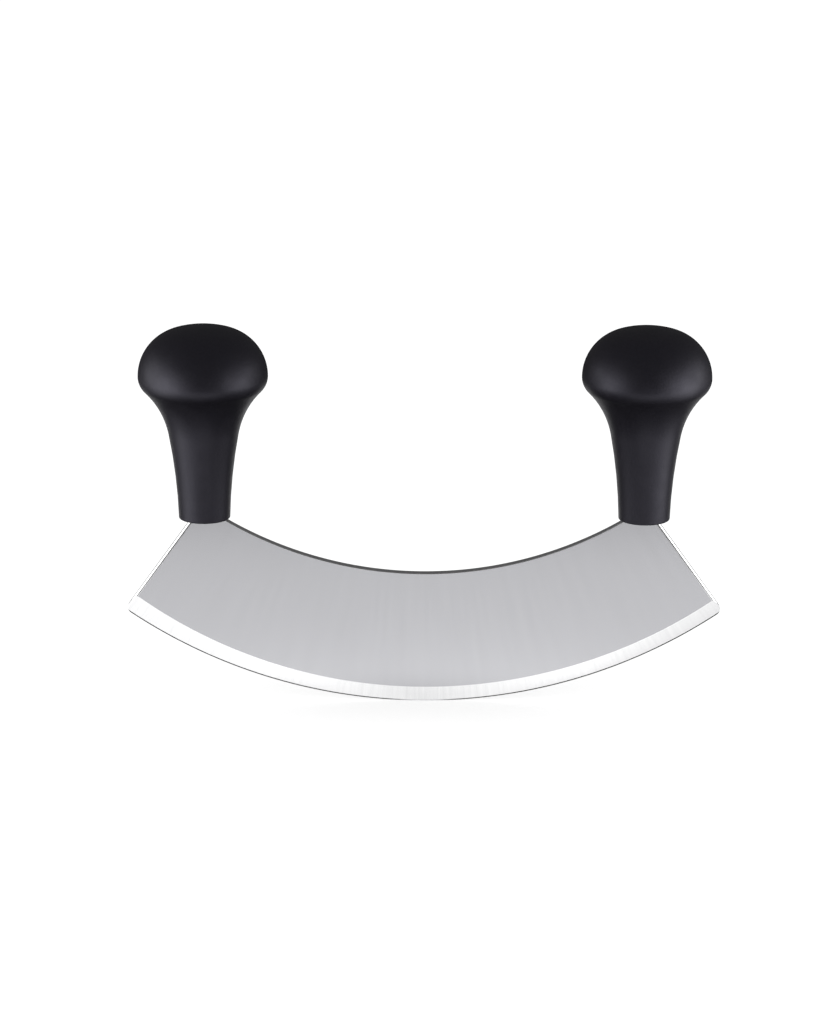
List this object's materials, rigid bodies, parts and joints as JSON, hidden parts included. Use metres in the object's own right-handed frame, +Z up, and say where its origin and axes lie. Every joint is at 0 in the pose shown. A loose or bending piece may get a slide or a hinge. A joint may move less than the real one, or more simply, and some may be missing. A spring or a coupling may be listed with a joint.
{
  "type": "mezzaluna",
  "caption": "Rocking herb knife: a crescent steel blade with a ground bevel along its curved edge and upright black plastic knob handles moulded onto its ends.",
  "frame": {"origin": "the lowest point of the cutting edge, in the middle plane of the blade, with the knife upright as it is used", "axes": "+X along the blade from the left handle to the right handle, +Y through the blade's thickness, away from the face seen in the picture, +Z up from the cutting edge to the handles"},
  "size_m": [0.1786, 0.0386, 0.1165],
  "materials": {
    "blade_steel": "satin ground stainless sheet with brighter ground edges",
    "handle_plastic": "matte black moulded plastic with a very fine texture"
  },
  "bodies": {
    "root": {"blade": "blade_steel", "left_handle": "handle_plastic", "right_handle": "handle_plastic"}
  },
  "joints": []
}
